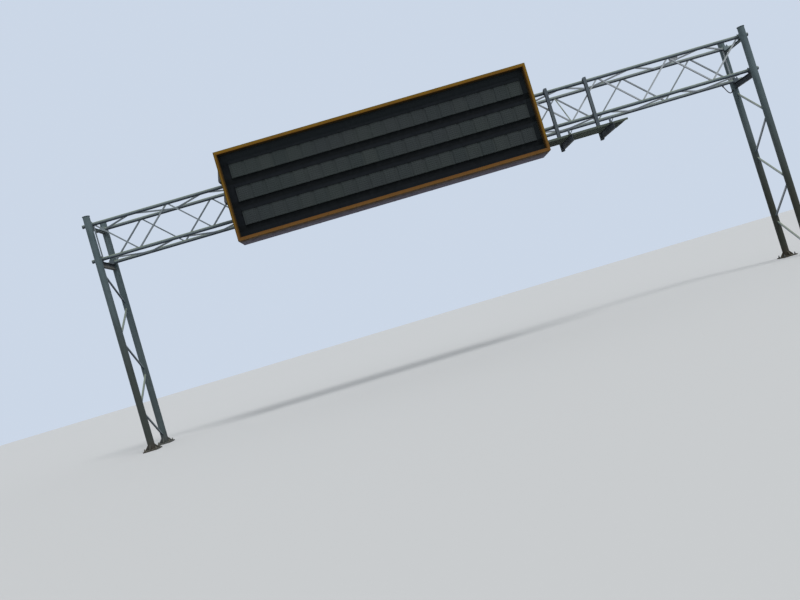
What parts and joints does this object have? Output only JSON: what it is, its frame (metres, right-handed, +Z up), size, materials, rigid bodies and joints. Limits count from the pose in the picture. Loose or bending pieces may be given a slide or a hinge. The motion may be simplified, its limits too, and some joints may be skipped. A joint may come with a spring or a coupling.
{
  "type": "overhead sign gantry",
  "caption": "Overhead lattice sign gantry with a wide display housing, a side walkway and two pipe post towers.",
  "frame": {"origin": "on the level of the base plates' undersides, at the middle of the outer box", "axes": "+X along the truss to the right as the traffic sees it, +Y away from the traffic, +Z up"},
  "size_m": [22.674, 2.9996, 8.301],
  "materials": {
    "post_steel": "weathered",
    "truss_steel": "weathered",
    "beam_steel": "weathered",
    "housing_sheet": "satin",
    "border_paint": "satin paint",
    "face_black": "matte paint",
    "module_grey": "matte",
    "conduit_grey": "matte"
  },
  "bodies": {
    "root": {"left_near_post": "post_steel", "left_far_post": "post_steel", "right_near_post": "post_steel", "right_far_post": "post_steel", "left_near_base": "post_steel", "left_far_base": "post_steel", "right_near_base": "post_steel", "right_far_base": "post_steel", "left_post_caps": "post_steel", "right_post_caps": "post_steel", "near_top_chord": "truss_steel", "near_bottom_chord": "truss_steel", "far_top_chord": "truss_steel", "far_bottom_chord": "truss_steel", "chord_end_caps": "truss_steel", "near_truss_web": "truss_steel", "far_truss_web": "truss_steel", "top_laterals": "truss_steel", "bottom_laterals": "truss_steel", "cross_braces": "truss_steel", "left_tower_bracing": "truss_steel", "right_tower_bracing": "truss_steel", "left_lower_beam": "beam_steel", "left_upper_beam": "beam_steel", "right_lower_beam": "beam_steel", "right_upper_beam": "beam_steel", "left_chord_saddles": "beam_steel", "right_chord_saddles": "beam_steel", "sign_hangers": "beam_steel", "walkway_hangers": "beam_steel", "hanger_clamps": "beam_steel", "outrigger_arms": "beam_steel", "walkway_deck": "beam_steel", "walkway_channels": "beam_steel", "rail_posts": "beam_steel", "housing_roof": "housing_sheet", "housing_floor": "housing_sheet", "housing_back": "housing_sheet", "housing_left_end": "housing_sheet", "housing_right_end": "housing_sheet", "access_door": "housing_sheet", "vent_hoods": "housing_sheet", "face_border": "border_paint", "face_panel": "face_black", "row_rails": "face_black", "display_row_top": "module_grey", "display_row_middle": "module_grey", "display_row_bottom": "module_grey", "chord_conduit": "conduit_grey"}
  },
  "joints": []
}
